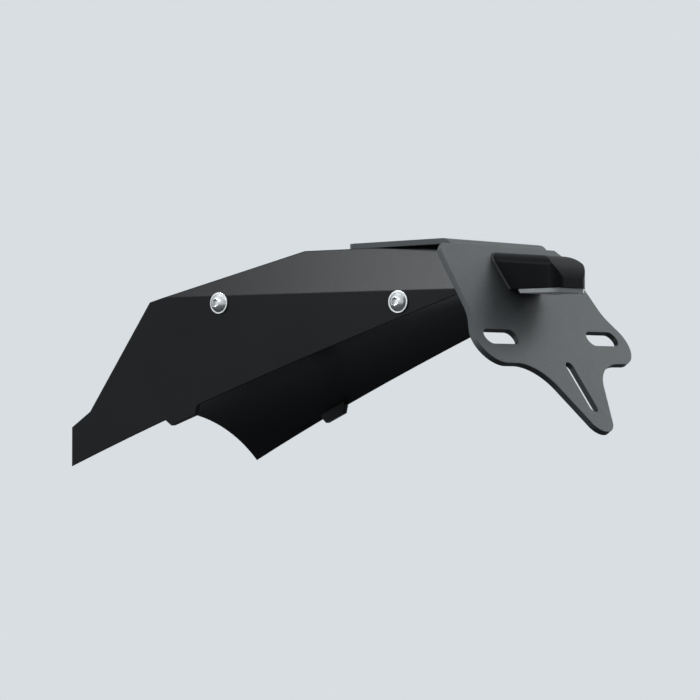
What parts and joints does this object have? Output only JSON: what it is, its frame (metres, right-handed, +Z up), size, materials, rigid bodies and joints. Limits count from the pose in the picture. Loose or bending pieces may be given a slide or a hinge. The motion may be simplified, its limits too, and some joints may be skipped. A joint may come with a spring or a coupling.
{
  "type": "motorcycle tail tidy",
  "caption": "Tail tidy: a folded black plate bracket with slotted ears and tongue, a small LED plate lamp and a crowned plastic undertray.",
  "frame": {"origin": "middle of the four mounting holes, on top of the flange that bolts up under the tail", "axes": "+X to the vehicle's right, +Y forward, +Z up"},
  "size_m": [0.152, 0.3343, 0.1244],
  "materials": {
    "black_steel": "satin powder coat",
    "black_plastic": "fine grained satin",
    "stainless": "bright stainless",
    "brass": "turned",
    "black_screw": "black zinc",
    "lamp_black": "semi gloss",
    "clear_lens": "clear polished plastic",
    "rubber": "matt",
    "white_plastic": "white",
    "board": "green board",
    "led": "clear amber-white"
  },
  "bodies": {
    "root": {"plate_bracket": "black_steel", "undertray": "black_plastic", "tray_bolts": "stainless", "tray_washers": "stainless", "tray_inserts": "brass", "join_screws": "black_screw", "join_washers": "stainless", "join_nuts": "stainless", "lamp_housing": "lamp_black", "lamp_lens": "clear_lens", "lamp_seal": "rubber", "lamp_reflector": "white_plastic", "lamp_board": "board", "lamp_leds": "led", "lamp_resistors": "lamp_black", "lamp_gasket": "rubber", "lamp_screws": "stainless", "lamp_washers": "stainless", "lamp_grommet": "rubber", "flange_grommet": "rubber"}
  },
  "joints": []
}
